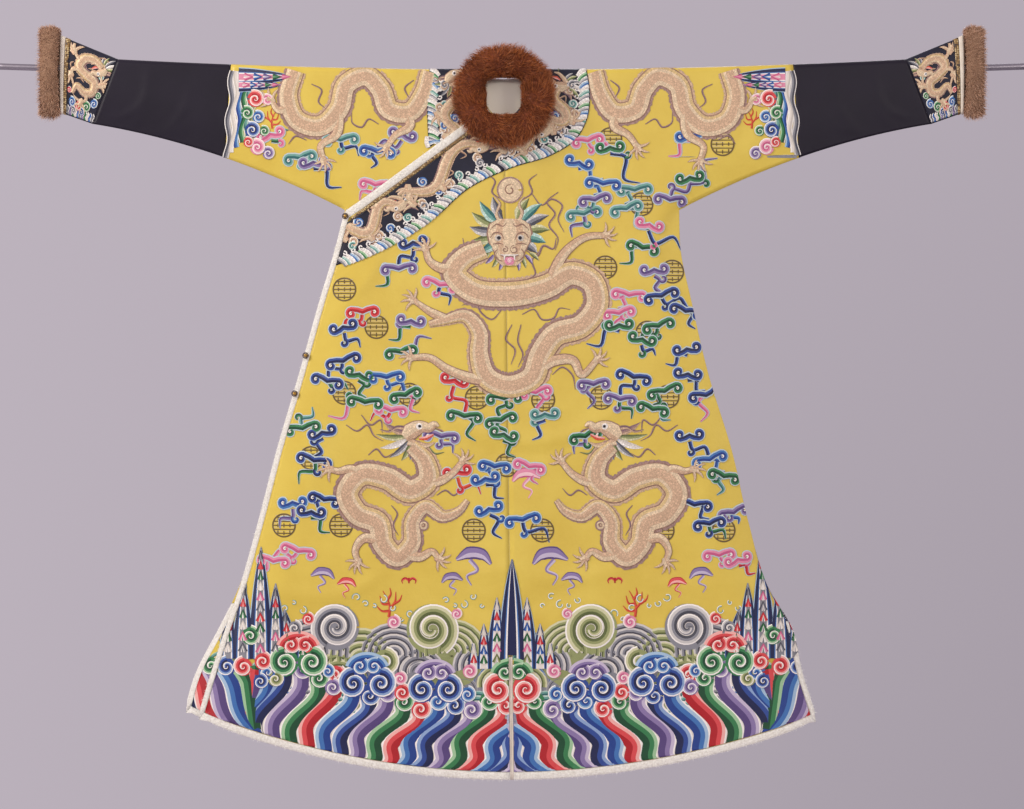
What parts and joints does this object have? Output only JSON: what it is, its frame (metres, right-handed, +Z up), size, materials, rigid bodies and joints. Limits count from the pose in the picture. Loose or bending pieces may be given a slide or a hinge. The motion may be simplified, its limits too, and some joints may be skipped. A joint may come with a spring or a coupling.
{
  "type": "chinese dragon robe on a display rod",
  "caption": "Long yellow court robe with a diagonal closing, dark sleeves, flared cuffs and fur edgings, hung flat through its sleeves on a steel rod.",
  "frame": {"origin": "on the rod's axis at the middle of its span, which is where the rod carries the robe", "axes": "+Z up, the robe's front faces -Y, +X towards the wearer's left sleeve"},
  "size_m": [2.1, 0.0942, 1.5045],
  "materials": {
    "yellow_satin": "imperial yellow silk satin, softly lustrous, embroidered all over in silk floss and couched gold thread",
    "navy_satin": "very dark blue silk satin, smooth with a soft sheen",
    "collar_band": "dark blue silk satin, closely embroidered with gold dragons and waves",
    "brown_fur": "dense glossy red-brown fur",
    "tan_fur": "dense tan-brown fur",
    "white_fur": "short cream-white fur edging",
    "cream_satin": "plain cream silk satin",
    "brocade": "narrow woven ribbon, gold and white figures on a dark ground",
    "steel": "plain satin-finished steel tube",
    "gilt": "gilt brass, lightly worn"
  },
  "bodies": {
    "root": {"back_left": "yellow_satin", "back_right": "yellow_satin", "button_1": "gilt", "button_2": "gilt", "button_3": "gilt", "collar_band_back_left": "collar_band", "collar_band_back_right": "collar_band", "collar_band_left": "collar_band", "collar_band_overlap": "collar_band", "collar_band_under": "collar_band", "cuff_edging_left": "cream_satin", "cuff_edging_right": "cream_satin", "cuff_fur_left": "tan_fur", "cuff_fur_right": "tan_fur", "cuff_left": "collar_band", "cuff_ribbon_left": "brocade", "cuff_ribbon_right": "brocade", "cuff_right": "collar_band", "flap_fur": "white_fur", "flap_ribbon": "brocade", "front_left": "yellow_satin", "front_overlap": "yellow_satin", "front_under": "yellow_satin", "fur_collar": "brown_fur", "hem_fur_back_left": "white_fur", "hem_fur_back_right": "white_fur", "hem_fur_left": "white_fur", "hem_fur_overlap": "white_fur", "hem_fur_under": "white_fur", "loop_1": "brocade", "loop_2": "brocade", "loop_3": "brocade", "neck_facing": "cream_satin", "rod": "steel", "side_fur_overlap": "white_fur", "sleeve_piece_left": "navy_satin", "sleeve_piece_right": "navy_satin", "slit_edge_back_left": "cream_satin", "slit_edge_back_right": "cream_satin", "slit_edge_left": "cream_satin", "slit_edge_overlap": "cream_satin", "vent_fur_back_left": "white_fur", "vent_fur_back_right": "white_fur", "vent_fur_left": "white_fur", "vent_fur_under": "white_fur"}
  },
  "joints": []
}
